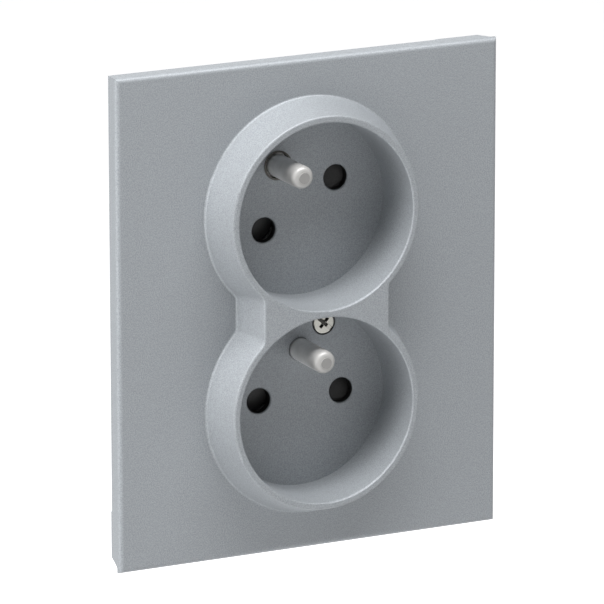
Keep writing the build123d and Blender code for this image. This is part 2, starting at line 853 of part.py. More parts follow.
def make_rear_cover():
    """Insulating rear cover with terminal pockets, wire holes and screw access."""
    with BuildPart() as rear:
        with BuildSketch(at_depth(rear_back)):
            base_outline()
        extrude(amount=rear_back - base_back)
        fillet(rear.edges().group_by(Axis.Y)[-1], rear_edge_radius)
        for (x, z), direction, name in clamp_spots():
            middle = Vector(x, base_back + block_y / 2, z)
            wide = block_x if direction.X else block_z
            tall = block_z if direction.X else block_x
            with BuildSketch(at_depth(block_back + block_end_gap)):
                with Locations((x, z)):
                    Rectangle(wide + 2 * block_clearance, tall + 2 * block_clearance)
            extrude(amount=block_y + block_end_gap, mode=Mode.SUBTRACT)
            with BuildSketch(at_depth(rear_back)):
                with Locations((x, z)):
                    Circle(wire_radius + wire_entry_clearance)
            extrude(amount=rear_back - base_back, mode=Mode.SUBTRACT)
            with BuildSketch(Plane(origin=middle, z_dir=direction)):
                Circle(clamp_head_radius + clamp_clearance)
            extrude(amount=base_radius, mode=Mode.SUBTRACT)
        # Slot for the leg of the earth strap
        with BuildSketch(at_depth(block_back + block_end_gap)):
            with Locations((0, strap_leg_z + strap_thickness / 2)):
                Rectangle(strap_width + 2 * fit_gap, strap_thickness + 2 * fit_gap)
        extrude(amount=block_y + block_end_gap, mode=Mode.SUBTRACT)
        # Countersunk screw holes
        for x, z in housing_spots():
            with BuildSketch(lathe_plane(x, z)):
                with BuildLine():
                    Polyline(
                        (0, rear_back),
                        (small_head_radius + thread_clearance, rear_back),
                        (small_screw_radius + thread_clearance, rear_back - frame_thickness),
                        (small_screw_radius + thread_clearance, base_back),
                        (0, base_back),
                        close=True,
                    )
                make_face()
            revolve(axis=Axis((x, 0, z), (0, 1, 0)), mode=Mode.SUBTRACT)
    save(rear.part, "rear_cover")


os.makedirs("parts", exist_ok=True)
make_cover()
make_cover_screw()
make_pin_bush()
make_support_frame()
make_contact_base()
make_earth_strap()
make_rear_cover()
make_clamp_screws()
for well in wells:
    make_earth_pin(well)
    make_shutter(well)
    make_shutter_spring(well)
for side, name in ((-1, "contact_rail_left"), (1, "contact_rail_right")):
    make_contact_rail(side, name)
for (x, z), direction, name in clamp_spots():
    terminal_block(x, z, direction, name)
frame_spots = [(x, z) for x in (-frame_screw_x, frame_screw_x) for z in (-frame_screw_z, frame_screw_z)]
make_small_screws("frame_screws", frame_spots, -frame_thickness, frame_screw_length, -1)
make_small_screws("housing_screws", housing_spots(), rear_back, housing_screw_length, 1)
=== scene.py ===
"""Finishes, spring wire, screw threads and studio of a silver-painted double wall socket."""
import json
from math import cos, pi, radians, sin, tau

import bpy
from bpy.props import FloatProperty, FloatVectorProperty, PointerProperty
from mathutils import Matrix, Vector


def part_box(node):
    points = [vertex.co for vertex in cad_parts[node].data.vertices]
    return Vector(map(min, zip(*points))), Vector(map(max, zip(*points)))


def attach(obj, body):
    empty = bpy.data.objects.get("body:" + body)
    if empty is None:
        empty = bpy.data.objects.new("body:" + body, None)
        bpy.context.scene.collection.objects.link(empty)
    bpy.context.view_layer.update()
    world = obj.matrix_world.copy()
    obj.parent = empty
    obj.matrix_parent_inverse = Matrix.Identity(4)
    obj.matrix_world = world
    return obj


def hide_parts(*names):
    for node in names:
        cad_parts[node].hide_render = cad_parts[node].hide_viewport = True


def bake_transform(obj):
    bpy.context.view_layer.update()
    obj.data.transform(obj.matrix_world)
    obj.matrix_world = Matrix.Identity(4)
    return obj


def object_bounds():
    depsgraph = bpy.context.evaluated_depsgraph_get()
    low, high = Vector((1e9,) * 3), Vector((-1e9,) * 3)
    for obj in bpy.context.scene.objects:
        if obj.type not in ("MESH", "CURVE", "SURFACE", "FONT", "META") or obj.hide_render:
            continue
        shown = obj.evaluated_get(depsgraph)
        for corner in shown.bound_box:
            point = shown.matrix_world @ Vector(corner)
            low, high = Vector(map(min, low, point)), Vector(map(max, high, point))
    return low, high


bl_info = {
    "name": "Double wall socket",
    "version": (1, 0, 0),
    "blender": (4, 5, 0),
    "location": "3D View > Sidebar > Socket",
    "description": "Finishes a double wall socket and sets it in a pale studio",
    "category": "Object",
}

# The frame is loaded first, so that places can be taken from it. Lengths are in metres,
# the wall is y = 0, the room is on the minus y side and z is up.
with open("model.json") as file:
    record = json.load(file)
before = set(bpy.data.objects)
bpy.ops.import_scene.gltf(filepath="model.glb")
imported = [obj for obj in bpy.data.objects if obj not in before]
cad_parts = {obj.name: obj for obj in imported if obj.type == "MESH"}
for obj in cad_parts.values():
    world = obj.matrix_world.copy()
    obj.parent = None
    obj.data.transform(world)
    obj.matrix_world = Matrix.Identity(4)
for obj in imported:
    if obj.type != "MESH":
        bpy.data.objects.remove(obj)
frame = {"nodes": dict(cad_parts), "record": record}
cad_low, cad_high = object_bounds()
cover_low, cover_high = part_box("cover")
PIN_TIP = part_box("earth_pin_lower")[0].y
screw_low, screw_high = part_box("cover_screw")

# Each shutter turns about the axis of its well
WELL_CENTRES = [joint["pos_m"] for joint in frame["record"]["behaviour"]["joints"]]
WELLS = ("upper", "lower")
WELL_DEPTH = 0.0128
WELL_FLOOR = cover_low.y + WELL_DEPTH

# Bands where one look turns into the next, each with its start and end: depths behind the well
# floor, the pin's tip and the screw's face, and then distances from the axis of screw and well
PAINT_END = (0.00012, 0.0003)
# The next two bands are painted shade on the pin: its end face, and the part near its tip
PIN_END_SHADE = (0.00005, 0.0002)
PIN_TIP_SHADE = (0.0008, 0.006)
# The slot and cross bands darken the recesses of the cover screw's head: painted shade
SLOT_SHADE = (0.0001, 0.0002)
SLOT_FLOOR = (0.00044, 0.0005)
CROSS_SHADE = (0.00062, 0.00075)
SCREW_SEAT = (0.0031, 0.0032)
HOLE_ZONE = (0.0181, 0.0182)

# Share of the metal flakes in the grain of the silver paint; soft clouds are the rest
FLAKE_SHARE = 0.95

# Springs: direction from the axis to the legs in degrees, share of the wire in each leg, share
# of it up to the end of the bend into the coil, and points along and round the wire
LEG_ANGLES = (40.0, 10.0)
LEG_SHARE = 0.035
BEND_SHARE = 1.3 * LEG_SHARE
WIRE_POINTS = 200
WIRE_SIDES = 12

# Small screws: depth of a head, and for each group of four the spacing across and up, the y of
# their faces, the z of the middle, the length of the thread, and the turn in degrees that
# points it inwards
SCREW_HEAD = 0.0012
SCREW_GROUPS = {
    "frame_screws": (0.041, 0.026, -0.0012, 0.0, 0.005, -90.0),
    "housing_screws": (0.037, 0.0355, 0.0265, 0.00075, 0.012, 90.0),
}

# Threads: shares of their way where they are fully grown and where they begin to run out, least
# share of their height, points on a turn, and corners of their section
THREAD_GROWN = 0.08
THREAD_RUNS_OUT = 0.85
THREAD_LEAST = 0.1
TURN_POINTS = 24
RIDGE_CORNERS = 4

# Share of the head's height past which a point is on the shank, widest seam that is closed,
# and least angle of a sharp edge in radians
SHANK_START = 0.98
SEAM = 0.0000005
SHARP_ANGLE = 0.6

# Camera: the picture's width and focal length in pixels, sensor in millimetres, place, and
# its turn to the right, down and about its own axis in radians
IMAGE_SIZE = 604
FOCAL_PIXELS = 6618.0
SENSOR = 36.0
CAMERA_SPOT = (-0.58106, -1.19277, 0.35344)
CAMERA_YAW = 0.4547
CAMERA_PITCH = 0.2612
CAMERA_ROLL = -0.0013

# Soft lamps of the studio, each with its place, width and height
LAMPS = {
    "top": ((0.0, -0.22, 0.6), 0.6, 0.2),
    "corner": ((-0.45, -0.13, 0.45), 0.4, 0.4),
    "left": ((-0.6, -0.055, 0.1), 0.2, 0.5),
}

WHITE = (1.0, 1.0, 1.0, 1.0)
FLOOR_SIZE = 8.0
FLOOR_COLOUR = (0.85, 0.85, 0.85)
FLOOR_GLOW = 0.85


# Building blocks of every node tree

def combine(tree, operation, first, second=0.0):
    """Joins two patterns by one operation of arithmetic, or works on the first alone."""
    node = tree.nodes.new("ShaderNodeMath")
    node.operation = operation
    for slot, source in enumerate((first, second)):
        if isinstance(source, float):
            node.inputs[slot].default_value = source
        else:
            tree.links.new(source, node.inputs[slot])
    return node.outputs["Value"]


def ramp(tree, source, start, end, low, high, soft=False):
    """Maps a number from one range to another and holds it at both ends."""
    node = tree.nodes.new("ShaderNodeMapRange")
    if soft:
        node.interpolation_type = "SMOOTHSTEP"
    tree.links.new(source, node.inputs["Value"])
    for name, value in (("From Min", start), ("From Max", end), ("To Min", low), ("To Max", high)):
        if isinstance(value, float):
            node.inputs[name].default_value = value
        else:
            tree.links.new(value, node.inputs[name])
    return node.outputs["Result"]


# Material building blocks

def start_material(name, colour, metallic, roughness):
    """New material whose shader has plain values; returns it with its tree and shader."""
    material = bpy.data.materials.new(name)
    material.use_nodes = True
    tree = material.node_tree
    shader = tree.nodes["Principled BSDF"]
    shader.inputs["Base Color"].default_value = (*colour, 1.0)
    shader.inputs["Metallic"].default_value = metallic
    shader.inputs["Roughness"].default_value = roughness
    return material, tree, shader


def place(tree, stretch=(1.0, 1.0, 1.0), centre=(0.0, 0.0, 0.0)):
    """Object coordinates, moved to a centre and stretched."""
    coordinates = tree.nodes.new("ShaderNodeTexCoord")
    mapping = tree.nodes.new("ShaderNodeMapping")
    mapping.vector_type = "POINT"
    mapping.inputs["Location"].default_value = [-c * s for c, s in zip(centre, stretch)]
    mapping.inputs["Scale"].default_value = stretch
    tree.links.new(coordinates.outputs["Object"], mapping.inputs["Vector"])
    return mapping.outputs["Vector"]


def noise(tree, vector, scale, detail=2.0, rough=0.5):
    """Soft random pattern between 0 and 1."""
    node = tree.nodes.new("ShaderNodeTexNoise")
    node.inputs["Scale"].default_value = scale
    node.inputs["Detail"].default_value = detail
    node.inputs["Roughness"].default_value = rough
    tree.links.new(vector, node.inputs["Vector"])
    return node.outputs["Fac"]


def cells(tree, vector, scale):
    """Random value for each cell of a pattern of flat crystals."""
    node = tree.nodes.new("ShaderNodeTexVoronoi")
    node.inputs["Scale"].default_value = scale
    tree.links.new(vector, node.inputs["Vector"])
    return node.outputs["Color"]


def rings(tree, vector, scale):
    """Fine bands along y, as a turning tool leaves them."""
    node = tree.nodes.new("ShaderNodeTexWave")
    node.wave_type = "BANDS"
    node.bands_direction = "Y"
    node.inputs["Scale"].default_value = scale
    node.inputs["Distortion"].default_value = 0.6
    node.inputs["Detail"].default_value = 1.0
    tree.links.new(vector, node.inputs["Vector"])
    return node.outputs["Fac"]


def spread(tree, source, low, high, start=0.3, end=0.7):
    """Maps a pattern to values between low and high."""
    return ramp(tree, source, start, end, low, high)


def shade(colour, factor):
    """A colour made lighter or darker."""
    return [min(1.0, c * factor) for c in colour]


def tint(tree, source, colour, dark, light, start=0.3, end=0.7):
    """Maps a pattern to shades of one colour, given by a dark and a light factor."""
    node = tree.nodes.new("ShaderNodeValToRGB")
    node.color_ramp.elements[0].position = start
    node.color_ramp.elements[0].color = (*shade(colour, dark), 1.0)
    node.color_ramp.elements[1].position = end
    node.color_ramp.elements[1].color = (*shade(colour, light), 1.0)
    tree.links.new(source, node.inputs["Fac"])
    return node.outputs["Color"]


def behind(tree, face_y, band):
    """Nought up to a band of depths behind a face, one past it, and a ramp between."""
    coordinates = tree.nodes.new("ShaderNodeTexCoord")
    parts = tree.nodes.new("ShaderNodeSeparateXYZ")
    tree.links.new(coordinates.outputs["Object"], parts.inputs["Vector"])
    start, end = band
    return ramp(tree, parts.outputs["Y"], face_y + start, face_y + end, 0.0, 1.0)


def away_from(tree, centre, band):
    """Nought near a line along y, one far from it, by the distance seen from the room."""
    flat = place(tree, (1.0, 0.0, 1.0), centre)
    distance = tree.nodes.new("ShaderNodeVectorMath")
    distance.operation = "LENGTH"
    tree.links.new(flat, distance.inputs[0])
    return ramp(tree, distance.outputs["Value"], *band, 0.0, 1.0)


def blend_colour(tree, factor, first, second):
    """One colour where the factor is nought and the other where it is one."""
    node = tree.nodes.new("ShaderNodeMix")
    node.data_type = "RGBA"
    tree.links.new(factor, node.inputs["Factor"])
    for name, source in (("A", first), ("B", second)):
        sockets = [socket for socket in node.inputs if socket.name == name and socket.type == "RGBA"]
        if isinstance(source, bpy.types.NodeSocket):
            tree.links.new(source, sockets[0])
        else:
            sockets[0].default_value = (*source, 1.0)
    return [socket for socket in node.outputs if socket.type == "RGBA"][0]


def coat(tree, shader, colour, roughness):
    """Gives the shader its pattern of colours and its pattern of roughness."""
    tree.links.new(colour, shader.inputs["Base Color"])
    tree.links.new(roughness, shader.inputs["Roughness"])


def bump(tree, height, shader, strength, distance, before=None):
    """Adds a relief to the shader, on top of an earlier one."""
    node = tree.nodes.new("ShaderNodeBump")
    node.inputs["Strength"].default_value = strength
    node.inputs["Distance"].default_value = distance
    tree.links.new(height, node.inputs["Height"])
    if before:
        tree.links.new(before, node.inputs["Normal"])
    tree.links.new(node.outputs["Normal"], shader.inputs["Normal"])
    return node.outputs["Normal"]


# Finishes of the socket's pieces

def silver_paint(colour, bare_and_shade, floor_y, wells, screw):
    """Silver paint on moulded plastic, with metal flakes; the pins' holes stay bare, and their near-black
    colour is also painted shade in the recess.
    """
    material, tree, shader = start_material("silver_paint", colour, metallic=0.2, roughness=0.5)
    shader.inputs["Specular IOR Level"].default_value = 0.35
    spot = place(tree)
    flakes = noise(tree, spot, scale=4300.0, rough=0.7)
    clouds = noise(tree, spot, scale=45.0, detail=3.0)
    fine = combine(tree, "MULTIPLY", flakes, FLAKE_SHARE)
    grain = combine(tree, "ADD", fine, combine(tree, "MULTIPLY", clouds, 1.0 - FLAKE_SHARE))
    paint = tint(tree, grain, colour, dark=0.75, light=1.25)
    inside = behind(tree, floor_y, PAINT_END)
    inside = combine(tree, "MULTIPLY", inside, away_from(tree, screw, SCREW_SEAT))
    # Near-black colour in the holes: bare plastic where the paint ends, and painted shade in the recess
    for well in wells:
        near = combine(tree, "SUBTRACT", 1.0, away_from(tree, well, HOLE_ZONE))
        masked = combine(tree, "MULTIPLY", inside, near)
        paint = blend_colour(tree, masked, paint, bare_and_shade)
    coat(tree, shader, paint, spread(tree, clouds, low=0.46, high=0.54))
    pebble = noise(tree, spot, scale=900.0, detail=1.0)
    relief = bump(tree, pebble, shader, strength=0.12, distance=0.00002)
    bump(tree, flakes, shader, strength=0.1, distance=0.00001, before=relief)
    return material


def turned_nickel(colour, tip_y):
    """Nickel plate on a turned pin, with fine rings and dull patches, and painted shade that darkens it
    towards the tip and most on its end face.
    """
    material, tree, shader = start_material("turned_nickel", colour, metallic=0.15, roughness=0.42)
    spot = place(tree)
    lines = rings(tree, spot, scale=900.0)
    patches = noise(tree, spot, scale=420.0, detail=3.0)
    plate = tint(tree, patches, colour, dark=0.88, light=1.08)
    # Painted shade: darker on the end face and towards the tip
    for band, factor in ((PIN_TIP_SHADE, 0.5), (PIN_END_SHADE, 0.32)):
        tip_shade = combine(tree, "SUBTRACT", 1.0, behind(tree, tip_y, band))
        plate = blend_colour(tree, tip_shade, plate, shade(colour, factor))
    coat(tree, shader, plate, spread(tree, patches, low=0.34, high=0.46))
    bump(tree, lines, shader, strength=0.12, distance=0.000004)
    return material


def zinc(name, colour, face_y=None):
    """Zinc plate on a steel screw, a little cloudy, with painted shade in the head's slot and cross."""
    material, tree, shader = start_material(name, colour, metallic=0.85, roughness=0.32)
    patches = noise(tree, place(tree), scale=900.0, detail=4.0, rough=0.6)
    plate = tint(tree, patches, colour, dark=0.8, light=1.1)
    if face_y is not None:
        sides, slot_floor, cross = [
            behind(tree, face_y, band) for band in (SLOT_SHADE, SLOT_FLOOR, CROSS_SHADE)
        ]
        # Painted shade on the slot's sides, and darker still in the cross
        slot_shade = combine(tree, "SUBTRACT", sides, slot_floor)
        plate = blend_colour(tree, slot_shade, plate, shade(colour, 0.35))
        plate = blend_colour(tree, cross, plate, shade(colour, 0.1))
    coat(tree, shader, plate, spread(tree, patches, low=0.26, high=0.44))
    bump(tree, patches, shader, strength=0.15, distance=0.00001)
    return material


def galvanised(colour):
    """Galvanised sheet with faint crystals and rolling lines."""
    material, tree, shader = start_material("galvanised_sheet", colour, metallic=1.0, roughness=0.4)
    crystals = cells(tree, place(tree), scale=330.0)
    lines = noise(tree, place(tree, stretch=(1.0, 1.0, 0.05)), scale=2500.0)
    sheet = tint(tree, crystals, colour, dark=0.82, light=1.08, start=0.1, end=0.9)
    coat(tree, shader, sheet, spread(tree, crystals, low=0.32, high=0.48, start=0.1, end=0.9))
    bump(tree, lines, shader, strength=0.12, distance=0.00001)
    return material


def sheet_metal(name, colour, rough, stain_scale=260.0):
    """Stamped strip with stains and fine rolling scratches."""
    material, tree, shader = start_material(name, colour, metallic=1.0, roughness=rough)
    stains = noise(tree, place(tree), stain_scale, detail=4.0, rough=0.6)
    scratches = noise(tree, place(tree, stretch=(1.0, 0.06, 1.0)), scale=5000.0)
    strip = tint(tree, stains, colour, dark=0.72, light=1.08)
    coat(tree, shader, strip, spread(tree, stains, rough - 0.08, rough + 0.1))
    bump(tree, scratches, shader, strength=0.12, distance=0.00001)
    return material


def moulded(name, colour, rough, pebble_scale=1500.0, depth=0.00003):
    """Moulded plastic with a spark-eroded texture and slight flow marks."""
    material, tree, shader = start_material(name, colour, metallic=0.0, roughness=rough)
    pebble = noise(tree, place(tree), pebble_scale, detail=3.0, rough=0.6)
    flow = noise(tree, place(tree, stretch=(1.0, 1.0, 0.35)), scale=70.0, detail=3.0)
    plastic = tint(tree, flow, colour, dark=0.88, light=1.08)
    coat(tree, shader, plastic, spread(tree, pebble, rough - 0.07, rough + 0.08))
    bump(tree, pebble, shader, strength=0.35, distance=depth)
    return material


def dress(node, material):
    """Gives a piece of the frame its finish."""
    materials = frame["nodes"][node].data.materials
    materials.clear()
    materials.append(material)


# Shapes that geometry nodes wind and repeat

def start_shape(name, floats, integers=(), vectors=()):
    """New geometry tree with named inputs for its sizes; returns it with its two end nodes."""
    tree = bpy.data.node_groups.new(name, "GeometryNodeTree")
    tree.interface.new_socket(name="Geometry", in_out="INPUT", socket_type="NodeSocketGeometry")
    kinds = ((floats, "NodeSocketFloat"), (integers, "NodeSocketInt"), (vectors, "NodeSocketVector"))
    for labels, kind in kinds:
        for label in labels:
            tree.interface.new_socket(name=label, in_out="INPUT", socket_type=kind)
    tree.interface.new_socket(name="Geometry", in_out="OUTPUT", socket_type="NodeSocketGeometry")
    return tree, tree.nodes.new("NodeGroupInput").outputs, tree.nodes.new("NodeGroupOutput")


def step(tree, kind, links=(), values=(), mode=()):
    """Adds one node with its links, plain values and mode, and returns the node."""
    node = tree.nodes.new(kind)
    for name, value in mode:
        setattr(node, name, value)
    for name, source in links:
        tree.links.new(source, node.inputs[name])
    for name, value in values:
        node.inputs[name].default_value = value
    return node


def vector_math(tree, operation, first, second):
    """Joins two vectors by one operation; the second may be plain numbers."""
    node = tree.nodes.new("ShaderNodeVectorMath")
    node.operation = operation
    tree.links.new(first, node.inputs[0])
    if isinstance(second, tuple):
        node.inputs[1].default_value = second
    else:
        tree.links.new(second, node.inputs[1])
    return node.outputs["Vector"]


def sweep(tree, path, radius, sides, scale=None):
    """Tube or ridge with closed ends: a polygon carried along a path."""
    links = [("Radius", radius)]
    profile = step(tree, "GeometryNodeCurvePrimitiveCircle", links, [("Resolution", sides)])
    links = [("Curve", path), ("Profile Curve", profile.outputs["Curve"])]
    if scale:
        links.append(("Scale", scale))
    return step(tree, "GeometryNodeCurveToMesh", links, [("Fill Caps", True)]).outputs["Mesh"]


def close_shape(tree, shape, material, result):
    """Ends a geometry tree with real geometry in one finish."""
    real = step(tree, "GeometryNodeRealizeInstances", [("Geometry", shape)])
    links = [("Geometry", real.outputs["Geometry"])]
    done = step(tree, "GeometryNodeSetMaterial", links, [("Material", material)])
    tree.links.new(done.outputs["Geometry"], result.inputs["Geometry"])


def spring_shape(material):
    """Round wire that follows a helix, with a straight leg along the axis at each end."""
    tree, given, result = start_shape(
        "spring_shape",
        floats=("Coil radius", "Turn height", "Turns", "Wire radius", "Leg", "Start angle"),
        integers=("Points",),
        vectors=("Start",),
    )
    line = step(tree, "GeometryNodeCurvePrimitiveLine")
    links = [("Curve", line.outputs["Curve"]), ("Count", given["Points"])]
    path = step(tree, "GeometryNodeResampleCurve", links)
    share = step(tree, "GeometryNodeSplineParameter").outputs["Factor"]
    leg_end, leg_start = LEG_SHARE, 1.0 - LEG_SHARE
    whole_angle = combine(tree, "MULTIPLY", given["Turns"], tau)
    whole_height = combine(tree, "MULTIPLY", given["Turns"], given["Turn height"])
    wound = ramp(tree, share, leg_end, leg_start, 0.0, whole_angle)
    angle = combine(tree, "ADD", wound, given["Start angle"])
    height = ramp(tree, share, leg_end, leg_start, 0.0, whole_height)
    # The legs still run on where the coil begins, which rounds the two bends
    first = ramp(tree, share, 0.0, BEND_SHARE, given["Leg"], 0.0, soft=True)
    last = ramp(tree, share, 1.0 - BEND_SHARE, 1.0, 0.0, given["Leg"], soft=True)
    height = combine(tree, "ADD", combine(tree, "SUBTRACT", height, first), last)
    across = combine(tree, "MULTIPLY", combine(tree, "COSINE", angle), given["Coil radius"])
    up = combine(tree, "MULTIPLY", combine(tree, "SINE", angle), given["Coil radius"])
    depth = combine(tree, "MULTIPLY", height, -1.0)
    spot = step(tree, "ShaderNodeCombineXYZ", [("X", across), ("Y", depth), ("Z", up)])
    spot = vector_math(tree, "ADD", spot.outputs["Vector"], given["Start"])
    links = [("Geometry", path.outputs["Curve"]), ("Position", spot)]
    coil = step(tree, "GeometryNodeSetPosition", links)
    wire = sweep(tree, coil.outputs["Geometry"], given["Wire radius"], WIRE_SIDES)
    close_shape(tree, wire, material, result)
    return tree


def screw_spots(tree, given):
    """Points at the faces of four screws, in an upright rectangle."""
    links = [("Size X", given["Gap across"]), ("Size Y", given["Gap up"])]
    grid = step(tree, "GeometryNodeMeshGrid", links, [("Vertices X", 2), ("Vertices Y", 2)])
    links = [("Geometry", grid.outputs["Mesh"]), ("Translation", given["Middle"])]
    upright = [("Rotation", (pi / 2, 0.0, 0.0))]
    return step(tree, "GeometryNodeTransform", links, upright).outputs["Geometry"]


def thin_shanks(tree, given, spots):
    """Moves every point of a shank towards the axis of its own screw."""
    here = step(tree, "GeometryNodeInputPosition").outputs["Position"]
    nearest = step(tree, "GeometryNodeSampleNearest", [("Geometry", spots)])
    links = [("Geometry", spots), ("Value", here), ("Index", nearest.outputs["Index"])]
    own_spot = step(tree, "GeometryNodeSampleIndex", links, mode=[("data_type", "FLOAT_VECTOR")])
    offset = vector_math(tree, "SUBTRACT", here, own_spot.outputs["Value"])
    away = vector_math(tree, "MULTIPLY", offset, (1.0, 0.0, 1.0))
    parts = step(tree, "ShaderNodeSeparateXYZ", [("Vector", offset)])
    depth = combine(tree, "ABSOLUTE", parts.outputs["Y"])
    share = combine(tree, "DIVIDE", given["Core radius"], given["Thread radius"])
    links = [(0, away), ("Scale", combine(tree, "SUBTRACT", share, 1.0))]
    pull = step(tree, "ShaderNodeVectorMath", links, mode=[("operation", "SCALE")])
    head_end = combine(tree, "MULTIPLY", given["Start"], SHANK_START)
    links = [
        ("Geometry", given["Geometry"]),
        ("Selection", combine(tree, "GREATER_THAN", depth, head_end)),
        ("Offset", pull.outputs["Vector"]),
    ]
    return step(tree, "GeometryNodeSetPosition", links).outputs["Geometry"]


def wind_threads(tree, given, spots):
    """A ridge round each shank, half sunk in it, that runs out at both ends."""
    links = [
        ("Rotations", combine(tree, "DIVIDE", given["Length"], given["Pitch"])),
        ("Start Radius", given["Core radius"]),
        ("End Radius", given["Core radius"]),
        ("Height", given["Length"]),
    ]
    helix = step(tree, "GeometryNodeCurveSpiral", links, [("Resolution", TURN_POINTS)])
    links = [("Curve", helix.outputs["Curve"])]
    path = step(tree, "GeometryNodeSetCurveNormal", links, mode=[("mode", "Z_UP")])
    share = step(tree, "GeometryNodeSplineParameter").outputs["Factor"]
    start = ramp(tree, share, 0.0, THREAD_GROWN, THREAD_LEAST, 1.0)
    end = ramp(tree, share, THREAD_RUNS_OUT, 1.0, 1.0, THREAD_LEAST)
    height = combine(tree, "MULTIPLY", start, end)
    full = combine(tree, "SUBTRACT", given["Thread radius"], given["Core radius"])
    ridge = sweep(tree, path.outputs["Curve"], full, RIDGE_CORNERS, height)
    rise = step(tree, "ShaderNodeCombineXYZ", [("Z", given["Start"])])
    links = [("Geometry", ridge), ("Translation", rise.outputs["Vector"])]
    ridge = step(tree, "GeometryNodeTransform", links).outputs["Geometry"]
    lean = step(tree, "FunctionNodeEulerToRotation", [("Euler", given["Lean"])])
    links = [("Points", spots), ("Instance", ridge), ("Rotation", lean.outputs["Rotation"])]
    ridges = step(tree, "GeometryNodeInstanceOnPoints", links).outputs["Instances"]
    return step(tree, "GeometryNodeRealizeInstances", [("Geometry", ridges)]).outputs["Geometry"]


def join_and_crease(tree, parts):
    """Joins parts, closes their seams and shades them smooth but for the sharp edges."""
    both = step(tree, "GeometryNodeJoinGeometry")
    for part in parts:
        tree.links.new(part, both.inputs["Geometry"])
    links = [("Geometry", both.outputs["Geometry"])]
    whole = step(tree, "GeometryNodeMergeByDistance", links, [("Distance", SEAM)])
    smooth = step(tree, "GeometryNodeSetShadeSmooth", [("Geometry", whole.outputs["Geometry"])])
    corner = step(tree, "GeometryNodeInputMeshEdgeAngle").outputs["Unsigned Angle"]
    links = [
        ("Geometry", smooth.outputs["Geometry"]),
        ("Selection", combine(tree, "GREATER_THAN", corner, SHARP_ANGLE)),
    ]
    values = [("Shade Smooth", False)]
    sharp = step(tree, "GeometryNodeSetShadeSmooth", links, values, [("domain", "EDGE")])
    return sharp.outputs["Geometry"]


def thread_shape(material):
    """Thins the shanks of four like screws that stand in a rectangle and winds a thread on each."""
    tree, given, result = start_shape(
        "thread_shape",
        floats=("Gap across", "Gap up", "Core radius", "Thread radius", "Pitch", "Start", "Length"),
        vectors=("Middle", "Lean"),
    )
    spots = screw_spots(tree, given)
    parts = (thin_shanks(tree, given, spots), wind_threads(tree, given, spots))
    close_shape(tree, join_and_crease(tree, parts), material, result)
    return tree


def make_shape(name, mesh, tree, sizes, stands_for):
    """Plain mesh from a geometry tree, as a piece that stands for one CAD node."""
    source = bpy.data.objects.new(name + "_source", mesh)
    bpy.context.scene.collection.objects.link(source)
    modifier = source.modifiers.new("shape", "NODES")
    modifier.node_group = tree
    for socket in tree.interface.items_tree:
        if socket.in_out == "INPUT" and socket.name in sizes:
            modifier[socket.identifier] = sizes[socket.name]
    shaped = source.evaluated_get(bpy.context.evaluated_depsgraph_get())
    plain = bpy.data.meshes.new_from_object(shaped)
    source.modifiers.remove(modifier)
    bpy.data.objects.remove(source)
    bpy.data.meshes.remove(mesh)
    # The tree's finish is the only one that stays on the mesh
    finish = plain.materials[-1]
    plain.materials.clear()
    plain.materials.append(finish)
    plain.polygons.foreach_set("material_index", [0] * len(plain.polygons))
    plain.name = name
    piece = bpy.data.objects.new(name, plain)
    bpy.context.scene.collection.objects.link(piece)
    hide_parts(stands_for)
    return piece


# Settings

def length_setting(name, description, value):
    """Setting for a length."""
    return FloatProperty(
        name=name, description=description, default=value, min=0.0, precision=5, unit="LENGTH"
    )


def colour_setting(name, description, value):
    """Setting for a colour."""
    return FloatVectorProperty(
        name=name, description=description, default=value, min=0.0, max=1.0, subtype="COLOR", size=3
    )


def power_setting(name, description, value):
    """Setting for the power of a lamp."""
    return FloatProperty(name=name, description=description, default=value, min=0.0, unit="POWER")


class SocketShapes(bpy.types.PropertyGroup):
    """Sizes of the spring wire and of the screw threads."""

    coil_radius: length_setting("Coil radius", "From the coil's axis to the middle of the wire", 0.0035)
    turn_height: length_setting("Turn height", "Height of one turn of the spring", 0.00045)
    turns: FloatProperty(name="Turns", description="Turns of each spring", default=2.0, min=0.5)
    wire: length_setting("Wire", "Thickness of the spring wire", 0.0004)
    leg: length_setting("Leg", "Length of each leg of the spring", 0.00105)
    core: length_setting("Thread core", "Radius of the small screws inside the thread", 0.0008)
    thread: length_setting("Thread radius", "Radius of the small screws over the thread", 0.0011)
    pitch: length_setting("Thread pitch", "Step of the thread of the small screws", 0.0008)


class SocketColours(bpy.types.PropertyGroup):
    """Colours of the finishes, as linear light."""

    paint: colour_setting("Paint", "Silver paint of the cover", (0.32, 0.34, 0.36))
    # Near black: the bare plastic's colour, and painted shade in the pins' holes
    bare_and_shade: colour_setting("Bare plastic", "Plastic inside the holes of the cover", (0.008, 0.008, 0.008))
    pin: colour_setting("Earth pins", "Nickel plate of the earth pins", (0.9, 0.89, 0.87))
    bush: colour_setting("Bush", "Sleeve round the upper earth pin", (0.12, 0.112, 0.1))
    shutter: colour_setting("Shutters", "Plastic of the turning shutters", (0.005, 0.005, 0.005))
    cover_screw: colour_setting("Cover screw", "Zinc plate of the cover screw", (0.46, 0.455, 0.42))
    steel: colour_setting("Support frame", "Galvanised sheet of the support frame", (0.55, 0.56, 0.57))
    screws: colour_setting("Small screws", "Zinc plate of the small screws", (0.62, 0.61, 0.58))
    spring: colour_setting("Springs", "Stainless wire of the springs", (0.5, 0.49, 0.47))
    base: colour_setting("Base", "Plastic of the contact base", (0.3, 0.3, 0.29))
    rear: colour_setting("Rear cover", "Plastic of the rear cover", (0.5, 0.51, 0.51))
    brass: colour_setting("Rails", "Brass of the contact rails", (0.62, 0.45, 0.2))
    strap: colour_setting("Earth strap", "Tinned brass of the earth strap", (0.6, 0.59, 0.55))
    terminal: colour_setting("Terminals", "Nickelled brass of the terminals", (0.6, 0.57, 0.5))


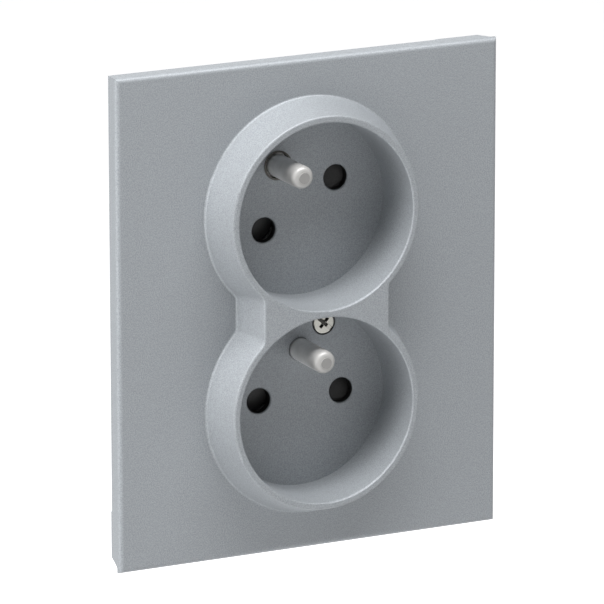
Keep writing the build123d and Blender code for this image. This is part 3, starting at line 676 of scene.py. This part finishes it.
class SocketStudio(bpy.types.PropertyGroup):
    """Lamps and floor of the studio."""

    top: power_setting("Top lamp", "Soft lamp above the socket", 5.5)
    corner: power_setting("Corner lamp", "Soft lamp above on the left", 1.5)
    left: power_setting("Left lamp", "Soft lamp on the left, by the wall", 2.1)
    world: FloatProperty(name="Surround", description="Even light from all sides", default=0.005, min=0.0)
    floor_drop: length_setting("Floor drop", "Height of the socket above the floor", 0.12)


# Steps

class SOCKET_OT_finish_cover(bpy.types.Operator):
    """Paint the cover"""

    bl_idname = "socket.finish_cover"
    bl_label = "Cover"

    def execute(self, context):
        colours = context.scene.socket_colours
        screw = (screw_low + screw_high) / 2
        paint = silver_paint(colours.paint, colours.bare_and_shade, WELL_FLOOR, WELL_CENTRES, screw)
        dress("cover", paint)
        return {"FINISHED"}


class SOCKET_OT_finish_pins(bpy.types.Operator):
    """Plate the earth pins and colour the bush"""

    bl_idname = "socket.finish_pins"
    bl_label = "Earth pins"

    def execute(self, context):
        colours = context.scene.socket_colours
        nickel = turned_nickel(colours.pin, PIN_TIP)
        for node in ("earth_pin_upper", "earth_pin_lower"):
            dress(node, nickel)
        dress("pin_bush_upper", moulded("bush_plastic", colours.bush, 0.65))
        return {"FINISHED"}


class SOCKET_OT_finish_shutters(bpy.types.Operator):
    """Colour the shutters and their springs"""

    bl_idname = "socket.finish_shutters"
    bl_label = "Shutters and springs"

    def execute(self, context):
        colours = context.scene.socket_colours
        plastic = moulded("shutter_plastic", colours.shutter, 0.6, 2500.0, 0.00001)
        wire = sheet_metal("spring_wire", colours.spring, 0.25)
        for well in WELLS:
            dress(f"shutter_{well}", plastic)
            dress(f"shutter_spring_{well}", wire)
        return {"FINISHED"}


class SOCKET_OT_finish_screws(bpy.types.Operator):
    """Plate the screws"""

    bl_idname = "socket.finish_screws"
    bl_label = "Screws"

    def execute(self, context):
        colours = context.scene.socket_colours
        dress("cover_screw", zinc("cover_screw_zinc", colours.cover_screw, screw_low.y))
        plate = zinc("screw_zinc", colours.screws)
        for node in ("frame_screws", "housing_screws", "terminal_screws"):
            dress(node, plate)
        return {"FINISHED"}


class SOCKET_OT_wind_springs(bpy.types.Operator):
    """Wind the springs of the shutters from round wire"""

    bl_idname = "socket.wind_springs"
    bl_label = "Spring wire"

    def execute(self, context):
        shapes = context.scene.socket_shapes
        tree = spring_shape(bpy.data.materials["spring_wire"])
        for well, centre, angle in zip(WELLS, WELL_CENTRES, LEG_ANGLES):
            node = f"shutter_spring_{well}"
            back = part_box(node)[1].y - shapes.leg
            sizes = {
                "Coil radius": shapes.coil_radius,
                "Turn height": shapes.turn_height,
                "Turns": shapes.turns,
                "Wire radius": shapes.wire / 2,
                "Leg": shapes.leg,
                "Start angle": radians(angle),
                "Points": WIRE_POINTS,
                "Start": (centre[0], back, centre[2]),
            }
            mesh = bpy.data.meshes.new(node)
            piece = make_shape(node + "_wire", mesh, tree, sizes, node)
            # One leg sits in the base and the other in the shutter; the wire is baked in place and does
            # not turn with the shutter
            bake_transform(piece)
        return {"FINISHED"}


class SOCKET_OT_cut_threads(bpy.types.Operator):
    """Wind the threads of the screws in the base and in the rear cover"""

    bl_idname = "socket.cut_threads"
    bl_label = "Screw threads"

    def execute(self, context):
        shapes = context.scene.socket_shapes
        tree = thread_shape(bpy.data.materials["screw_zinc"])
        for node, (across, up, face_y, middle_z, reach, lean) in SCREW_GROUPS.items():
            sizes = {
                "Gap across": across,
                "Gap up": up,
                "Core radius": shapes.core,
                "Thread radius": shapes.thread,
                "Pitch": shapes.pitch,
                "Start": SCREW_HEAD,
                "Length": reach,
                "Middle": (0.0, face_y, middle_z),
                "Lean": (radians(lean), 0.0, 0.0),
            }
            mesh = frame["nodes"][node].data.copy()
            mesh.materials.clear()
            normals = mesh.attributes.get("custom_normal")
            if normals:
                mesh.attributes.remove(normals)
            piece = make_shape(node + "_threaded", mesh, tree, sizes, node)
            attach(piece, "socket")
        return {"FINISHED"}


class SOCKET_OT_finish_carcass(bpy.types.Operator):
    """Finish the support frame, the base and the rear cover"""

    bl_idname = "socket.finish_carcass"
    bl_label = "Frame and base"

    def execute(self, context):
        colours = context.scene.socket_colours
        dress("support_frame", galvanised(colours.steel))
        dress("contact_base", moulded("base_plastic", colours.base, 0.5))
        dress("rear_cover", moulded("rear_plastic", colours.rear, 0.48))
        return {"FINISHED"}


class SOCKET_OT_finish_contacts(bpy.types.Operator):
    """Finish the rails, the earth strap and the terminals"""

    bl_idname = "socket.finish_contacts"
    bl_label = "Contacts"

    def execute(self, context):
        colours = context.scene.socket_colours
        brass = sheet_metal("contact_brass", colours.brass, 0.3)
        for node in ("contact_rail_left", "contact_rail_right"):
            dress(node, brass)
        dress("earth_strap", sheet_metal("tinned_strap", colours.strap, 0.36))
        nickel = sheet_metal("terminal_nickel", colours.terminal, 0.3, 400.0)
        for node in ("terminal_left", "terminal_right", "terminal_earth"):
            dress(node, nickel)
        return {"FINISHED"}


# Studio

def seen_directly(tree):
    """One where a ray comes from the camera, a mirror or glass, and nought elsewhere."""
    ray = tree.nodes.new("ShaderNodeLightPath").outputs
    mirrored = combine(tree, "MAXIMUM", ray["Is Camera Ray"], ray["Is Glossy Ray"])
    return combine(tree, "MAXIMUM", mirrored, ray["Is Transmission Ray"])


def lay_floor(height):
    """White floor that stays bright where it is seen directly."""
    bpy.ops.mesh.primitive_plane_add(size=FLOOR_SIZE, location=(0.0, 0.0, height))
    floor = bpy.context.object
    floor.name = "floor"
    material, tree, shader = start_material("floor_white", FLOOR_COLOUR, 0.0, 0.9)
    shader.inputs["Emission Color"].default_value = WHITE
    glow = combine(tree, "MULTIPLY", seen_directly(tree), FLOOR_GLOW)
    tree.links.new(glow, shader.inputs["Emission Strength"])
    floor.data.materials.append(material)


def soft_lamp(name, power, spot, aim, width, height):
    """Rectangular soft lamp that points at a place."""
    light = bpy.data.lights.new(name, "AREA")
    light.shape = "RECTANGLE"
    light.size = width
    light.size_y = height
    light.energy = power
    lamp = bpy.data.objects.new(name, light)
    bpy.context.scene.collection.objects.link(lamp)
    lamp.location = spot
    lamp.rotation_euler = (aim - Vector(spot)).to_track_quat("-Z", "Y").to_euler()


def set_world(strength):
    """White surround for the camera, mirrors and glass, and an even light of its own strength."""
    world = bpy.data.worlds.new("surround")
    bpy.context.scene.world = world
    world.use_nodes = True
    tree = world.node_tree
    background = tree.nodes["Background"]
    background.inputs["Color"].default_value = WHITE
    level = ramp(tree, seen_directly(tree), 0.0, 1.0, strength, 1.0)
    tree.links.new(level, background.inputs["Strength"])


def set_camera():
    """Long lens that looks down on the socket from its left, as the picture was taken."""
    data = bpy.data.cameras.new("camera")
    data.sensor_width = SENSOR
    data.lens = FOCAL_PIXELS * data.sensor_width / IMAGE_SIZE
    data.clip_start = 0.05
    data.clip_end = 20.0
    camera = bpy.data.objects.new("camera", data)
    bpy.context.scene.collection.objects.link(camera)
    level = cos(CAMERA_PITCH)
    view = Vector((sin(CAMERA_YAW) * level, cos(CAMERA_YAW) * level, -sin(CAMERA_PITCH)))
    side = Vector((cos(CAMERA_YAW), -sin(CAMERA_YAW), 0.0))
    up = side.cross(view)
    right = side * cos(CAMERA_ROLL) + up * sin(CAMERA_ROLL)
    above = up * cos(CAMERA_ROLL) - side * sin(CAMERA_ROLL)
    turned = Matrix((right, above, -view)).transposed().to_4x4()
    camera.matrix_world = Matrix.Translation(CAMERA_SPOT) @ turned
    bpy.context.scene.camera = camera


class SOCKET_OT_build_studio(bpy.types.Operator):
    """Set the floor, the lamps, the surround and the camera"""

    bl_idname = "socket.build_studio"
    bl_label = "Studio"

    def execute(self, context):
        studio = context.scene.socket_studio
        lay_floor(cad_low.z - studio.floor_drop)
        middle = (cover_low + cover_high) / 2
        for name, (spot, width, height) in LAMPS.items():
            soft_lamp(f"lamp_{name}", getattr(studio, name), spot, middle, width, height)
        set_world(studio.world)
        set_camera()
        context.scene.view_settings.view_transform = "Standard"
        return {"FINISHED"}


class SOCKET_PT_panel(bpy.types.Panel):
    """Sizes, colours and steps of the socket"""

    bl_idname = "SOCKET_PT_panel"
    bl_label = "Double wall socket"
    bl_space_type = "VIEW_3D"
    bl_region_type = "UI"
    bl_category = "Socket"

    def draw(self, context):
        scene = context.scene
        for group in (scene.socket_shapes, scene.socket_colours, scene.socket_studio):
            column = self.layout.column(align=True)
            for name in group.__annotations__:
                column.prop(group, name)
        for operator in OPERATORS:
            self.layout.operator(operator.bl_idname)


GROUPS = (SocketShapes, SocketColours, SocketStudio)
OPERATORS = (
    SOCKET_OT_finish_cover,
    SOCKET_OT_finish_pins,
    SOCKET_OT_finish_shutters,
    SOCKET_OT_finish_screws,
    SOCKET_OT_wind_springs,
    SOCKET_OT_cut_threads,
    SOCKET_OT_finish_carcass,
    SOCKET_OT_finish_contacts,
    SOCKET_OT_build_studio,
)


def register():
    """Adds the classes, and the settings to every scene."""
    for item in (*GROUPS, *OPERATORS, SOCKET_PT_panel):
        bpy.utils.register_class(item)
    bpy.types.Scene.socket_shapes = PointerProperty(type=SocketShapes)
    bpy.types.Scene.socket_colours = PointerProperty(type=SocketColours)
    bpy.types.Scene.socket_studio = PointerProperty(type=SocketStudio)


def unregister():
    """Takes the settings and the classes away again."""
    del bpy.types.Scene.socket_studio
    del bpy.types.Scene.socket_colours
    del bpy.types.Scene.socket_shapes
    for item in reversed((*GROUPS, *OPERATORS, SOCKET_PT_panel)):
        bpy.utils.unregister_class(item)


def main():
    """Runs every step in order."""
    register()
    for operator in OPERATORS:
        group, name = operator.bl_idname.split(".")
        getattr(getattr(bpy.ops, group), name)()


if __name__ == "__main__":
    main()
